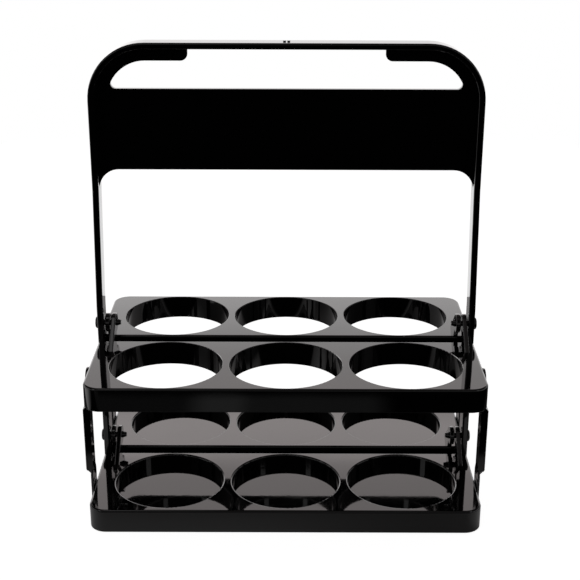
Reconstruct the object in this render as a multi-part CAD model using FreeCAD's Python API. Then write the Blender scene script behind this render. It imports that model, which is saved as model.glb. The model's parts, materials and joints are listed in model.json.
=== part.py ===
import FreeCAD, Part
import math
import os

# Foldable six-bottle carrier: a handle frame with two legs, and on each side of it an upper
# tray with open bays and a lower tray with cups. The trays hinge on pins through the legs and
# fold up flat against the frame, and side links keep each lower tray parallel to its upper one.
# Millimetres, +Z up, origin on the floor under the middle of the frame, front towards -Y.

# Bottle bays
bottle_diameter = 68.0
bottle_clearance = 2.0
bay_web = 4.4
bay_edge_margin = 1.85
bay_side_margin = 12.0
bay_edge_round = 0.4

# Trays
tray_gap = 9.6
tray_height = 15.6
tray_spacing = 83.5
deck_thickness = 2.0
skirt_thickness = 2.0
collar_thickness = 1.7
tray_corner_radius = 11.0
deck_edge_round = 1.4
skirt_edge_round = 0.5

# Cups of the lower trays
cup_clearance = 1.35
cup_edge_margin = 4.4
cup_depth = 7.6
cup_floor_thickness = 1.6
cup_edge_round = 1.0

# Handle frame
frame_width = 249.8
frame_height = 296.4
frame_depth = 14.0
leg_thickness = 4.2
leg_splay = 1.5
leg_bend_radius = 60.0
bar_thickness = 4.0
frame_corner_radius = 36.0
frame_edge_round = 1.1
web_thickness = 2.8
panel_height = 51.6
panel_corner_radius = 12.7
finger_slot_height = 25.0
finger_slot_corner_radius = 3.0
gusset_depth = 11.7
gusset_end_radius = 4.5
grip_length = 122.0
gate_mark_radius = 0.9
gate_mark_height = 0.7
gate_mark_spacing = 2.6

# Hinges of the trays on the legs
hinge_height = 11.5
hinge_pin_diameter = 4.0
hinge_head_diameter = 8.2
hinge_head_height = 2.0
hinge_head_round = 1.4
hinge_tip_length = 2.8
hinge_tip_diameter = 2.8
hinge_barb = 0.35
hinge_slit_width = 0.7
hinge_slit_depth = 6.0
ear_radius = 6.3
ear_thickness = 3.0
ear_gap = 1.0
ear_edge_round = 0.7
ear_foot_reach = 23.0
ear_leg_gap = 0.8

# Side links between the trays
link_reach = 47.0
link_drop = 7.8
link_tab_width = 14.0
link_tab_thickness = 1.5
link_tab_length = 16.4
link_shoulder = 4.0
link_bar_width = 10.0
link_bar_thickness = 4.6
link_bar_chamfer_length = 4.0
link_corner_radius = 1.0
link_edge_round = 0.8
link_tab_edge_round = 0.5
link_groove_width = 1.8
link_groove_depth = 0.5
link_pin_diameter = 4.4
link_head_diameter = 7.2
link_head_height = 0.7
link_boss_diameter = 8.4
link_boss_length = 5.0
link_pin_end_round = 0.6

# Fits
running_clearance = 0.08
press_clearance = 0.03
seat_clearance = 0.1
stop_clearance = 0.3
link_clearance = 0.2
cut_overrun = 1.0

# Places worked out from the sizes above
bay_radius = bottle_diameter / 2 + bottle_clearance
cup_radius = bottle_diameter / 2 + cup_clearance
bay_pitch = 2 * bay_radius + bay_web
leg_outer = frame_width / 2
leg_inner = leg_outer - leg_thickness
handle_outer = leg_outer - leg_splay
tray_half_width = leg_outer
bays_per_tray = math.floor((frame_width - 2 * bay_side_margin + bay_web) / bay_pitch)
tray_inner = tray_gap / 2
bay_row = tray_inner + bay_edge_margin + bay_radius
upper_tray_outer = bay_row + bay_radius + bay_edge_margin
lower_tray_outer = bay_row + cup_radius + cup_edge_margin
frame_front = frame_depth / 2
panel_top = frame_height - bar_thickness - finger_slot_height
panel_bottom = panel_top - panel_height
web_foot = panel_bottom - panel_corner_radius
hinge_radius = hinge_pin_diameter / 2
lower_hinge = tray_height + hinge_height
upper_hinge = lower_hinge + tray_spacing
leg_bend = upper_hinge + 2 * ear_radius
outer_ear = leg_inner - ear_leg_gap - ear_thickness
inner_ear = outer_ear - ear_gap - ear_thickness
link_radius = link_pin_diameter / 2
link_inner = tray_half_width + link_clearance
lower_pivot = tray_height - link_drop
upper_pivot = lower_pivot + tray_spacing
tolerance = 0.001 * tray_height
along_x = FreeCAD.Vector(1, 0, 0)
along_y = FreeCAD.Vector(0, 1, 0)
along_z = FreeCAD.Vector(0, 0, 1)


def point(x, y, z):
    return FreeCAD.Vector(x, y, z)


def rounded_face(corners, place):
    """Face through corners (u, v, radius), each rounded; place turns (u, v) into a point."""
    bends = []
    for index, (u, v, radius) in enumerate(corners):
        here = point(u, v, 0)
        following = corners[(index + 1) % len(corners)]
        back = (point(corners[index - 1][0], corners[index - 1][1], 0) - here).normalize()
        ahead = (point(following[0], following[1], 0) - here).normalize()
        half_angle = back.getAngle(ahead) / 2
        inset = radius / math.tan(half_angle)
        inward = (back + ahead).normalize()
        middle = here + inward * (radius / math.sin(half_angle) - radius)
        bends.append([place(spot.x, spot.y) for spot in (here + back * inset, middle, here + ahead * inset)])
    edges = []
    for index, (start, middle, end) in enumerate(bends):
        next_start = bends[(index + 1) % len(bends)][0]
        if (end - start).Length > tolerance:
            edges.append(Part.Arc(start, middle, end).toShape())
        if (next_start - end).Length > tolerance:
            edges.append(Part.LineSegment(end, next_start).toShape())
    return Part.Face(Part.Wire(edges))


def plan_slab(corners, bottom, top):
    """Outline in plan, from height bottom to height top."""
    return rounded_face(corners, lambda x, y: point(x, y, bottom)).extrude(along_z * (top - bottom))


def front_slab(corners, near, far):
    """Outline seen from the front, from depth near to depth far."""
    return rounded_face(corners, lambda x, z: point(x, near, z)).extrude(along_y * (far - near))


def side_slab(corners, inner, outer):
    """Outline seen from the side, from inner to outer across the carrier."""
    return rounded_face(corners, lambda y, z: point(inner, y, z)).extrude(along_x * (outer - inner))


def block(low, high):
    """Box between two corners."""
    size = high - low
    return Part.makeBox(size.x, size.y, size.z, low)


def rod(radius, start, length, direction):
    return Part.makeCylinder(radius, length, start, direction)


def spans(edge, axis, value):
    """True where the whole edge lies at one value of an axis."""
    box = edge.BoundBox
    low, high = {"x": (box.XMin, box.XMax), "y": (box.YMin, box.YMax), "z": (box.ZMin, box.ZMax)}[axis]
    return abs(low - value) < tolerance and abs(high - value) < tolerance


def to_rear(shape):
    """The same moulding turned half round, as it sits behind the frame."""
    turned = shape.copy()
    turned.rotate(point(0, 0, 0), along_z, 180)
    return turned


def to_left(shape):
    """Mirror image on the other side of the carrier."""
    return shape.mirror(point(0, 0, 0), along_x)


# Handle frame

def handle_corners(inset_side, inset_top, bottom):
    """Outline of the handle, drawn in at its sides and its top."""
    side = handle_outer - inset_side
    top = frame_height - inset_top
    radius = frame_corner_radius - inset_side
    return [(-side, bottom, 0), (-side, top, radius), (side, top, radius), (side, bottom, 0)]


def frame_corners(inset_side, inset_top, bottom):
    """Outline of the frame: the handle, and below it the legs, which splay out to the hinges."""
    leg = leg_outer - inset_side
    side = handle_outer - inset_side
    bends = [(leg, leg_bend, leg_bend_radius), (side, web_foot, leg_bend_radius)]
    left = [(-leg, bottom, 0)] + [(-x, z, radius) for x, z, radius in bends]
    right = [(x, z, radius) for x, z, radius in reversed(bends)] + [(leg, bottom, 0)]
    return left + handle_corners(inset_side, inset_top, web_foot)[1:3] + right


def frame_rim():
    """The flat strip that runs up one leg, over the top and down the other."""
    rim = front_slab(frame_corners(0, 0, 0), -frame_front, frame_front)
    inside = frame_corners(leg_thickness, bar_thickness, -cut_overrun)
    rim = rim.cut(front_slab(inside, -frame_depth, frame_depth))
    outlines = [edge for edge in rim.Edges if spans(edge, "y", frame_front) or spans(edge, "y", -frame_front)]
    return rim.makeFillet(frame_edge_round, [edge for edge in outlines if not spans(edge, "z", 0)])


def frame_web():
    """Panel below the finger slot, and the gussets that follow the rim round its corners."""
    half = web_thickness / 2
    web = front_slab(handle_corners(leg_thickness / 2, bar_thickness / 2, web_foot), -half, half)
    side = handle_outer - leg_thickness
    window = [(-side, web_foot - cut_overrun, 0), (-side, panel_bottom, panel_corner_radius),
              (side, panel_bottom, panel_corner_radius), (side, web_foot - cut_overrun, 0)]
    slot = front_slab(handle_corners(gusset_depth, gusset_depth, panel_bottom), -frame_depth, frame_depth)
    slot = slot.cut(block(point(-frame_width, -frame_width, 0), point(frame_width, frame_width, panel_top)))
    grip = block(point(-grip_length / 2, -frame_depth, panel_top),
                 point(grip_length / 2, frame_depth, frame_height - bar_thickness / 2))
    web = web.cut(front_slab(window, -frame_depth, frame_depth)).cut(slot.fuse(grip))
    slot_ends = [edge for edge in web.Edges if spans(edge, "z", panel_top)
                 and edge.BoundBox.XLength < tolerance]
    web = web.makeFillet(finger_slot_corner_radius, slot_ends)
    gusset_ends = [edge for edge in web.Edges if spans(edge, "z", frame_height - gusset_depth)
                   and (spans(edge, "x", grip_length / 2) or spans(edge, "x", -grip_length / 2))]
    return web.makeFillet(gusset_end_radius, gusset_ends)


def handle_frame():
    frame = frame_rim().fuse(frame_web())
    for side in (-1, 1):
        start = point(side * gate_mark_spacing / 2, 0, frame_height - bar_thickness / 2)
        frame = frame.fuse(rod(gate_mark_radius, start, bar_thickness / 2 + gate_mark_height, along_z))
    for height in (lower_hinge, upper_hinge):
        bore = rod(hinge_radius + press_clearance, point(-frame_width, 0, height), 2 * frame_width, along_x)
        frame = frame.cut(bore)
    return frame.removeSplitter()


# Trays, drawn as the front ones

def tray_slab(outer, inset, bottom, top):
    """Plan of a tray that reaches out to outer, drawn in from its edge."""
    side = tray_half_width - inset
    near = -outer + inset
    far = -tray_inner - inset
    radius = tray_corner_radius - inset
    corners = [(-side, far, 0), (-side, near, radius), (side, near, radius), (side, far, 0)]
    return plan_slab(corners, bottom, top)


def leg_notch(side, grow, bottom, top):
    """Room for a leg in a tray's inner corner; its front face is the stop that holds the tray level."""
    inner = leg_inner - ear_leg_gap - grow
    depth = frame_front + stop_clearance + grow
    low, high = sorted((side * inner, side * (tray_half_width + cut_overrun)))
    return block(point(low, -depth, bottom), point(high, 0, top))


def tray_shell(outer):
    """Deck with a skirt all round, open below."""
    shell = tray_slab(outer, 0, 0, tray_height)
    shell = shell.makeFillet(deck_edge_round, [edge for edge in shell.Edges if spans(edge, "z", tray_height)])
    shell = shell.makeFillet(skirt_edge_round, [edge for edge in shell.Edges if spans(edge, "z", 0)])
    hollow_top = tray_height - deck_thickness
    hollow = tray_slab(outer, skirt_thickness, -cut_overrun, hollow_top)
    for side in (-1, 1):
        shell = shell.cut(leg_notch(side, 0, -cut_overrun, tray_height + cut_overrun))
        hollow = hollow.cut(leg_notch(side, skirt_thickness, -2 * cut_overrun, tray_height))
    return shell.cut(hollow)


def bay_centres():
    first = -bay_pitch * (bays_per_tray - 1) / 2
    return [point(first + index * bay_pitch, -bay_row, 0) for index in range(bays_per_tray)]


def add_bays(shell, outer, radius, collar_bottom, bay_bottom, edge_round):
    """Collars that hang from the deck, and the bays down through them to height bay_bottom."""
    outline = tray_slab(outer, 0, 0, tray_height)
    collar_height = tray_height - deck_thickness / 2 - collar_bottom
    for centre in bay_centres():
        collar = rod(radius + collar_thickness, centre + along_z * collar_bottom, collar_height, along_z)
        shell = shell.fuse(collar.common(outline))
    for centre in bay_centres():
        shell = shell.cut(rod(radius, centre + along_z * bay_bottom, tray_height + 2 * cut_overrun, along_z))
    rims = [edge for edge in shell.Edges if spans(edge, "z", tray_height)
            and abs(edge.BoundBox.XLength - 2 * radius) < tolerance]
    return shell.makeFillet(edge_round, rims)


def ear(inner):
    """Hinge ear that stands on the deck and reaches over to the pin."""
    root = tray_height - deck_thickness / 2
    foot = point(0, -ear_foot_reach, tray_height)
    hub = point(0, 0, lower_hinge)
    reach = (hub - foot).Length
    slope = math.atan2(hinge_height, ear_foot_reach) + math.asin(ear_radius / reach)
    touch = math.sqrt(reach ** 2 - ear_radius ** 2)
    crest = foot + point(0, math.cos(slope), math.sin(slope)) * touch
    heel = -tray_inner - deck_edge_round
    slope_ends = [(foot.y, foot.z, 0), (crest.y, crest.z, 0)]
    outline = [(heel, root, 0), (foot.y, root, 0)] + slope_ends + [(0, hub.z, 0)]
    outer = inner + ear_thickness
    plate = side_slab(outline, inner, outer)
    plate = plate.fuse(rod(ear_radius, hub + along_x * inner, ear_thickness, along_x)).removeSplitter()
    outlines = [edge for edge in plate.Edges if spans(edge, "x", inner) or spans(edge, "x", outer)]
    return plate.makeFillet(ear_edge_round, [edge for edge in outlines if edge.BoundBox.ZMax > lower_hinge])


def add_ears(tray):
    """One ear each end: inner on the left and outer on the right, so turned trays interleave."""
    ears = ear(-inner_ear - ear_thickness).fuse(ear(outer_ear))
    start = point(-frame_width, 0, lower_hinge)
    bore = rod(hinge_radius + running_clearance, start, 2 * frame_width, along_x)
    return tray.fuse(ears.cut(bore))


def add_link_bosses(tray):
    """Bosses behind the side walls that hold the pins of the links."""
    for side in (-1, 1):
        outward = along_x * side
        start = point(side * (tray_half_width - skirt_thickness / 2), -link_reach, lower_pivot)
        tray = tray.fuse(rod(link_boss_diameter / 2, start, link_boss_length, -outward))
        start = start + outward * (skirt_thickness + cut_overrun)
        length = link_boss_length + skirt_thickness + 3 * cut_overrun
        tray = tray.cut(rod(link_radius + press_clearance, start, length, -outward))
    return tray


def upper_tray():
    tray = tray_shell(upper_tray_outer)
    tray = add_bays(tray, upper_tray_outer, bay_radius, 0, -cut_overrun, bay_edge_round)
    tray = add_link_bosses(add_ears(tray)).removeSplitter()
    tray.translate(along_z * tray_spacing)
    return tray


def lower_tray():
    floor = tray_height - cup_depth
    tray = tray_shell(lower_tray_outer)
    tray = add_bays(tray, lower_tray_outer, cup_radius, floor - cup_floor_thickness, floor, cup_edge_round)
    return add_link_bosses(add_ears(tray)).removeSplitter()


# Hinge pins, drawn as the right ones

def hinge_pin(height):
    """Snap pin: domed head outside the leg, split barbed tip inside the ears."""
    seat = point(leg_outer, 0, height)
    head = rod(hinge_head_diameter / 2, seat, hinge_head_height, along_x)
    head = head.makeFillet(hinge_head_round, [edge for edge in head.Edges
                                              if spans(edge, "x", leg_outer + hinge_head_height)])
    barb = inner_ear - seat_clearance
    shaft = rod(hinge_radius, point(barb, 0, height), leg_outer - barb, along_x)
    tip = Part.makeCone(hinge_radius + hinge_barb, hinge_tip_diameter / 2, hinge_tip_length,
                        point(barb, 0, height), -along_x)
    slit_end = barb - hinge_tip_length + hinge_slit_depth
    slit = block(point(0, -hinge_slit_width / 2, height - ear_radius),
                 point(slit_end, hinge_slit_width / 2, height + ear_radius))
    return head.fuse(shaft).fuse(tip).cut(slit).removeSplitter()


# Links and their pins, drawn as the front right ones

def link_tabs():
    """Thin plate of the link: a round-ended tab at each pivot, narrower between."""
    wide = link_tab_width / 2
    slim = link_bar_width / 2
    low = lower_pivot + link_tab_length
    high = upper_pivot - link_tab_length
    right = [(wide, lower_pivot - wide, wide), (wide, low, link_corner_radius),
             (slim, low + link_shoulder, link_corner_radius),
             (slim, high - link_shoulder, link_corner_radius),
             (wide, high, link_corner_radius), (wide, upper_pivot + wide, wide)]
    left = [(-y, z, radius) for y, z, radius in reversed(right)]
    outline = [(y - link_reach, z, radius) for y, z, radius in right + left]
    outer = link_inner + link_tab_thickness
    tabs = side_slab(outline, link_inner, outer)
    return tabs.makeFillet(link_tab_edge_round, [edge for edge in tabs.Edges if spans(edge, "x", outer)])


def link_bar():
    """Stiff middle of the link, sloped off towards the tabs and grooved front and back."""
    slim = link_bar_width / 2
    outer = link_inner + link_bar_thickness
    root = link_inner + link_tab_thickness / 2
    low = lower_pivot + link_tab_length
    high = upper_pivot - link_tab_length
    outline = [(root, low, 0), (outer, low + link_bar_chamfer_length, 0),
               (outer, high - link_bar_chamfer_length, 0), (root, high, 0)]
    bar = front_slab(outline, -link_reach - slim, -link_reach + slim)
    bar = bar.makeFillet(link_edge_round, [edge for edge in bar.Edges if spans(edge, "x", outer)
                                           and edge.BoundBox.YLength < tolerance])
    middle = (root + outer) / 2
    for side in (-1, 1):
        face = -link_reach + side * slim
        near, far = sorted((face - side * link_groove_depth, face + side * cut_overrun))
        bar = bar.cut(block(point(middle - link_groove_width / 2, near, 0),
                            point(middle + link_groove_width / 2, far, frame_height)))
    return bar


def link():
    shape = link_tabs().fuse(link_bar())
    for height in (lower_pivot, upper_pivot):
        start = point(tray_half_width, -link_reach, height)
        shape = shape.cut(rod(link_radius + running_clearance, start, link_tab_width, along_x))
        seat = point(link_inner + link_tab_thickness - link_head_height - seat_clearance, -link_reach, height)
        shape = shape.cut(rod(link_head_diameter / 2 + seat_clearance, seat, link_tab_width, along_x))
    return shape.removeSplitter()


def link_pin(height):
    """Flush-headed pin that is pressed into a tray and carries a link."""
    face = point(link_inner + link_tab_thickness, -link_reach, height)
    head = rod(link_head_diameter / 2, face, link_head_height, -along_x)
    end = tray_half_width - skirt_thickness / 2 - link_boss_length
    shaft = rod(link_radius, face, face.x - end, -along_x)
    shaft = shaft.makeFillet(link_pin_end_round, [edge for edge in shaft.Edges if spans(edge, "x", end)])
    return head.fuse(shaft).removeSplitter()


def all_pieces():
    upper = upper_tray()
    lower = lower_tray()
    pieces = {
        "handle_frame": handle_frame(),
        "front_upper_tray": upper,
        "rear_upper_tray": to_rear(upper),
        "front_lower_tray": lower,
        "rear_lower_tray": to_rear(lower),
    }
    for level, hinge, pivot in (("upper", upper_hinge, upper_pivot), ("lower", lower_hinge, lower_pivot)):
        pin = hinge_pin(hinge)
        pieces["right_" + level + "_hinge_pin"] = pin
        pieces["left_" + level + "_hinge_pin"] = to_rear(pin)
        pin = link_pin(pivot)
        pieces["front_right_" + level + "_link_pin"] = pin
        pieces["front_left_" + level + "_link_pin"] = to_left(pin)
        pieces["rear_right_" + level + "_link_pin"] = to_rear(to_left(pin))
        pieces["rear_left_" + level + "_link_pin"] = to_rear(pin)
    front_right = link()
    pieces["front_right_link"] = front_right
    pieces["front_left_link"] = to_left(front_right)
    pieces["rear_right_link"] = to_rear(to_left(front_right))
    pieces["rear_left_link"] = to_rear(front_right)
    return pieces


os.makedirs("parts", exist_ok=True)
for name, shape in all_pieces().items():
    shape.exportStep("parts/" + name + ".step")
    print(name, len(shape.Solids), round(shape.Volume), shape.isValid())
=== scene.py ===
import json
import math

import bpy
from mathutils import Euler, Matrix, Vector

# Folding six-bottle carrier in glossy black plastic, on a pale studio floor. Metres, in the frame's axes.

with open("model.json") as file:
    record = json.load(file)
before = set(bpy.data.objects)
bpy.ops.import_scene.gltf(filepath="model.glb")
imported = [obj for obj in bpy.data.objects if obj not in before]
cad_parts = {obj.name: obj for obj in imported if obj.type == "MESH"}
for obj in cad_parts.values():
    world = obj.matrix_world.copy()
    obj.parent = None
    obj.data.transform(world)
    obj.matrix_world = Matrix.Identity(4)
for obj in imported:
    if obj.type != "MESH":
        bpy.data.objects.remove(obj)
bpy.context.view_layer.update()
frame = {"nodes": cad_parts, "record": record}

# Camera, at the photograph's viewing angle
camera_place = Vector((0.0023, -0.7424, 0.4092))
camera_pitch = math.radians(20.35)
camera_turn = math.radians(-0.02)
camera_roll = math.radians(0.19)
camera_sensor = 36.0
camera_lens = 74.39

# A step holds four numbers: where it begins, where it ends, the level before it and the level after it

# Plastic, with noise scales in waves per metre along x, y and z
plastic_ior = 1.5
plastic_coat = 0.7
plastic_coat_roughness = 0.015
plastic_black = (0.0025, 0.0025, 0.0028, 1.0)
plastic_dust = (0.015, 0.015, 0.016, 1.0)
smudge_scale = (38.0, 38.0, 38.0)
smudge_detail = 3.0
smudge_step = (0.35, 0.72, 0.0, 0.03)
scratch_scales = ((900.0, 45.0, 60.0), (40.0, 820.0, 70.0))
scratch_detail = 2.0
scratch_step = (0.70, 0.80, 0.0, 0.09)
dust_scale = (1400.0, 1400.0, 1400.0)
dust_detail = 1.0
dust_step = (0.78, 0.86, 0.0, 1.0)
flow_detail = 1.0
peel_scale = (520.0, 520.0, 520.0)
peel_detail = 2.0
relief_strength = 1.0
relief_depth = 0.00006

# Finish of each slot: material, roughness, scale of the flow waves, share of orange peel in the relief
finishes = {
    "frame_plastic": ("frame_gloss", 0.06, (14.0, 30.0, 22.0), 0.05),
    "tray_plastic": ("tray_gloss", 0.03, (26.0, 22.0, 34.0), 0.04),
    "link_plastic": ("link_gloss", 0.09, (40.0, 40.0, 25.0), 0.06),
    "pin_plastic": ("pin_satin", 0.16, (60.0, 60.0, 60.0), 0.10),
}

# Floor
floor_half_front = 0.27
floor_half_back = 0.42
floor_front = 0.31
floor_back = 1.0
floor_corner = 0.05
floor_arc_parts = 12
floor_shade = 0.75
floor_lift = 0.92

# Steps of the floor as mirrored rays see it, in metres across (x) or along (y)
paper_left = (-0.27, -0.15, 0.2, 1.0)
paper_right = (0.15, 0.18, 1.0, 0.1)
paper_front = (-0.132, -0.116, 0.0, 1.0)
glow_behind = (0.2, 0.36, 0.0, 1.0)
lower_patch_front = (-0.125, -0.075, 0.03, 0.14)
lower_patch_back = (-0.03, 0.0, 1.0, 0.0)
lower_patch_fade = (-0.05, 0.1, 1.0, 0.3)
lower_patch_return = (0.115, 0.135, 0.0, 1.0)
upper_patch_front = (-0.292, -0.27, 0.0, 0.128)
upper_patch_back = (-0.25, -0.238, 1.0, 0.0)
upper_patch_left = (-0.084, -0.058, 0.3, 1.2)
upper_patch_middle = (-0.042, -0.024, 1.0, 0.45)
upper_patch_right = (0.062, 0.088, 1.0, 0.0)

# Steps of the world, in parts of a unit direction across (x), along (y) or up (z)
sweep_edge = (0.7, 0.86, 0.0, 1.0)
sweep_side = (1.0, -1.0, 0.75, 1.05)
sweep_low = (0.34, 0.41, 1.3, 0.9)
sweep_high = (0.5, 0.85, 1.0, 0.15)
stripe_low = (0.42, 0.45, 0.0, 0.42)
stripe_high = (0.465, 0.485, 1.0, 0.0)
band_low = (-0.02, 0.06, 0.0, 0.6)
band_high = (0.37, 0.42, 1.0, 0.06)
band_front = (-0.75, -0.3, 0.33, 1.0)
overhead = (0.75, 0.95, 0.0, 0.12)
corner_side = (-0.3, -0.85, 0.0, 1.0)
corner_back = (-0.5, 0.1, 0.0, 0.65)
corner_low = (0.0, -0.1, 0.0, 1.0)
warming = (0.37, 0.45, 0.0, 1.0)

# Tints of the world, and its level for the camera
tint_low = (1.02, 0.995, 0.995, 1.0)
tint_high = (1.065, 0.982, 0.975, 1.0)
backdrop_tint = (1.0, 1.0, 1.0, 1.0)
backdrop_level = 1.0

# Softboxes, all facing the origin: name, place, width and height, watts
softboxes = [
    ("left softbox", (-1.0, -0.83, 0.965), (0.28, 0.42), 0.45),
    ("right softbox", (1.0, -0.83, 0.965), (0.28, 0.42), 0.35),
    ("top softbox", (-0.34, -0.25, 1.25), (0.5, 0.26), 0.22),
]


class Nodes:
    """Shorthand for making and linking shader nodes in an emptied tree."""

    def __init__(self, tree):
        self.tree = tree
        tree.nodes.clear()

    def add(self, kind, settings=None, **inputs):
        """A new node. Inputs are named with an underscore for each space."""
        node = self.tree.nodes.new(kind)
        for name, value in (settings or {}).items():
            setattr(node, name, value)
        for name, value in inputs.items():
            self.put(node, name.replace("_", " "), value)
        return node

    def put(self, node, key, value):
        """Set or link one input, given by its name or its number."""
        socket = node.inputs[key]
        if isinstance(value, bpy.types.NodeSocket):
            self.tree.links.new(value, socket)
        else:
            socket.default_value = value

    def combine(self, operation, first, *others):
        """Several values added, multiplied or compared, one after another."""
        for other in others:
            node = self.add("ShaderNodeMath", {"operation": operation})
            self.put(node, 0, first)
            self.put(node, 1, other)
            first = node.outputs[0]
        return first

    def steps(self, value, *steps):
        """Product of one or more smooth steps of a value."""
        levels = []
        for step in steps:
            node = self.add("ShaderNodeMapRange", {"interpolation_type": "SMOOTHSTEP"})
            for number, given in enumerate((value, *step)):
                self.put(node, number, given)
            levels.append(node.outputs[0])
        return self.combine("MULTIPLY", *levels)

    def mix(self, kind, share, first, second):
        """A blend of two levels (FLOAT) or two colours (RGBA), with the share of the second."""
        node = self.add("ShaderNodeMix", {"data_type": kind}, Factor=share, A=first, B=second)
        return node.outputs["Result"]

    def noise(self, place, scale, detail):
        """Noise with its own scale along each axis."""
        scaled = self.add("ShaderNodeMapping", Vector=place, Scale=scale).outputs["Vector"]
        return self.add("ShaderNodeTexNoise", Vector=scaled, Scale=1.0, Detail=detail).outputs["Fac"]


def make_camera():
    data = bpy.data.cameras.new("camera")
    data.sensor_width = camera_sensor
    data.lens = camera_lens
    camera = bpy.data.objects.new("camera", data)
    upright_aim = Euler((math.pi / 2 - camera_pitch, 0, camera_turn)).to_matrix()
    aim = upright_aim @ Matrix.Rotation(camera_roll, 3, "Z")
    camera.matrix_world = Matrix.Translation(camera_place) @ aim.to_4x4()
    bpy.context.scene.collection.objects.link(camera)
    bpy.context.scene.camera = camera


def plastic(name, roughness, flow_scale, peel):
    """Moulded gloss plastic: smudged gloss, hairline scratches, faint dust, flow waves and orange peel."""
    material = bpy.data.materials.new(name)
    material.use_nodes = True
    nodes = Nodes(material.node_tree)
    place = nodes.add("ShaderNodeTexCoord").outputs["Object"]
    smudges = nodes.steps(nodes.noise(place, smudge_scale, smudge_detail), smudge_step)
    hairs = [nodes.noise(place, scale, scratch_detail) for scale in scratch_scales]
    scratches = nodes.steps(nodes.combine("MAXIMUM", *hairs), scratch_step)
    dust = nodes.steps(nodes.noise(place, dust_scale, dust_detail), dust_step)
    waves = nodes.noise(place, flow_scale, flow_detail)
    grain = nodes.combine("MULTIPLY", nodes.noise(place, peel_scale, peel_detail), peel)
    relief = nodes.combine("ADD", waves, grain)
    bump = nodes.add("ShaderNodeBump", Strength=relief_strength, Distance=relief_depth, Height=relief)
    shader = nodes.add("ShaderNodeBsdfPrincipled", IOR=plastic_ior, Coat_Weight=plastic_coat,
                       Coat_Roughness=plastic_coat_roughness)
    nodes.put(shader, "Base Color", nodes.mix("RGBA", dust, plastic_black, plastic_dust))
    nodes.put(shader, "Roughness", nodes.combine("ADD", smudges, scratches, roughness))
    nodes.put(shader, "Normal", bump.outputs["Normal"])
    nodes.put(shader, "Coat Normal", bump.outputs["Normal"])
    nodes.add("ShaderNodeOutputMaterial", Surface=shader.outputs["BSDF"])
    return material


def dress():
    """Each node takes the finish of its slot."""
    materials = {slot: plastic(*finish) for slot, finish in finishes.items()}
    for part in frame["record"]["subparts"]:
        node = frame["nodes"][part["node"]]
        for slot in node.material_slots:
            slot.material = materials[part["material_slot"]]


def floor_outline():
    """Corner arcs of the floor, which is wider behind than in front."""
    points = []
    for x, y, turn in ((1, 1, 0), (-1, 1, 1), (-1, -1, 2), (1, -1, 3)):
        half = floor_half_back if y > 0 else floor_half_front
        reach = floor_back if y > 0 else floor_front
        middle = Vector((x * (half - floor_corner), y * (reach - floor_corner), 0))
        for part in range(floor_arc_parts + 1):
            angle = math.pi / 2 * (turn + part / floor_arc_parts)
            points.append(middle + Vector((math.cos(angle), math.sin(angle), 0)) * floor_corner)
    return points


def floor_paper():
    """Pale paper, lifted to white for the camera but for the object's soft shadow.

    Mirrored rays see less of it at the sides and none of it farther in front, a glow behind, and two faint
    patches of light, one for the front skirt of the lower tray and one for that of the upper tray.
    """
    material = bpy.data.materials.new("floor")
    material.use_nodes = True
    nodes = Nodes(material.node_tree)
    place = nodes.add("ShaderNodeTexCoord").outputs["Object"]
    parts = nodes.add("ShaderNodeSeparateXYZ", Vector=place)
    across = parts.outputs["X"]
    along = parts.outputs["Y"]
    paper = nodes.combine("MULTIPLY", nodes.steps(across, paper_left, paper_right),
                          nodes.steps(along, paper_front))
    lower_width = nodes.combine("MAXIMUM", nodes.steps(across, lower_patch_fade),
                                nodes.steps(across, lower_patch_return))
    lower_patch = nodes.combine("MULTIPLY", nodes.steps(along, lower_patch_front, lower_patch_back),
                                lower_width, paper)
    upper_width = nodes.steps(across, upper_patch_left, upper_patch_middle, upper_patch_right)
    upper_patch = nodes.combine("MULTIPLY", nodes.steps(along, upper_patch_front, upper_patch_back),
                                upper_width)
    glow = nodes.combine("ADD", nodes.steps(along, glow_behind), upper_patch, lower_patch)
    path = nodes.add("ShaderNodeLightPath")
    mirrored_shade = nodes.combine("MULTIPLY", paper, floor_shade)
    shade = nodes.mix("FLOAT", path.outputs["Is Glossy Ray"], floor_shade, mirrored_shade)
    seen_light = nodes.combine("MULTIPLY", path.outputs["Is Camera Ray"], floor_lift)
    mirrored_light = nodes.combine("MULTIPLY", path.outputs["Is Glossy Ray"], glow)
    diffuse = nodes.add("ShaderNodeBsdfDiffuse", Color=shade)
    emission = nodes.add("ShaderNodeEmission", Strength=nodes.combine("ADD", seen_light, mirrored_light))
    both = nodes.add("ShaderNodeAddShader")
    nodes.put(both, 0, diffuse.outputs["BSDF"])
    nodes.put(both, 1, emission.outputs["Emission"])
    nodes.add("ShaderNodeOutputMaterial", Surface=both.outputs["Shader"])
    return material


def make_floor():
    outline = floor_outline()
    mesh = bpy.data.meshes.new("floor")
    mesh.from_pydata(outline, [], [range(len(outline))])
    mesh.materials.append(floor_paper())
    floor = bpy.data.objects.new("floor", mesh)
    bpy.context.scene.collection.objects.link(floor)


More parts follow.
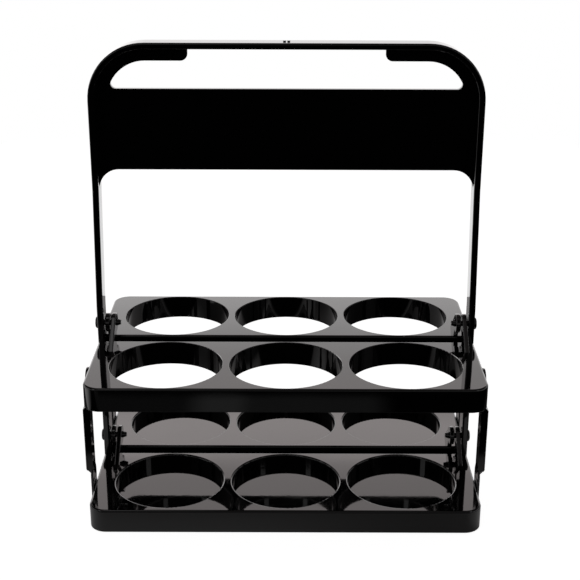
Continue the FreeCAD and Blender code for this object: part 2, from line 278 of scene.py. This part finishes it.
def make_world():
    """White to the camera, and a studio to all other rays.

    The studio has a faintly warm sweep behind with a brighter stripe across it, a dim band above the
    horizon, a little light overhead, and a pale patch low on the left for the rounded corner of the upper
    front tray.
    """
    world = bpy.data.worlds.new("studio")
    bpy.context.scene.world = world
    world.use_nodes = True
    nodes = Nodes(world.node_tree)
    direction = nodes.add("ShaderNodeTexCoord").outputs["Generated"]
    across, along, up = nodes.add("ShaderNodeSeparateXYZ", Vector=direction).outputs
    rise = nodes.combine("ADD", nodes.steps(up, sweep_low), nodes.steps(up, stripe_low, stripe_high))
    sweep = nodes.combine("MULTIPLY", nodes.steps(along, sweep_edge), nodes.steps(across, sweep_side),
                          rise, nodes.steps(up, sweep_high))
    band = nodes.combine("MULTIPLY", nodes.steps(up, band_low, band_high), nodes.steps(along, band_front))
    corner = nodes.combine("MULTIPLY", nodes.steps(across, corner_side), nodes.steps(along, corner_back),
                           nodes.steps(up, corner_low))
    level = nodes.combine("MAXIMUM", sweep, band, nodes.steps(up, overhead), corner)
    tint = nodes.mix("RGBA", nodes.steps(up, warming), tint_low, tint_high)
    path = nodes.add("ShaderNodeLightPath")
    seen = nodes.combine("MAXIMUM", path.outputs["Is Camera Ray"], path.outputs["Is Transmission Ray"])
    light = nodes.add("ShaderNodeBackground", Color=nodes.mix("RGBA", seen, tint, backdrop_tint),
                      Strength=nodes.mix("FLOAT", seen, level, backdrop_level))
    nodes.add("ShaderNodeOutputWorld", Surface=light.outputs["Background"])


def make_lights():
    """Softboxes that put small highlights on the edges, ears and cups."""
    for name, place, size, power in softboxes:
        data = bpy.data.lights.new(name, "AREA")
        data.shape = "RECTANGLE"
        data.size, data.size_y = size
        data.energy = power
        lamp = bpy.data.objects.new(name, data)
        lamp.location = place
        lamp.rotation_euler = Vector(place).to_track_quat("Z", "Y").to_euler()
        bpy.context.scene.collection.objects.link(lamp)


make_camera()
dress()
make_floor()
make_world()
make_lights()
bpy.context.scene.view_settings.view_transform = "Standard"
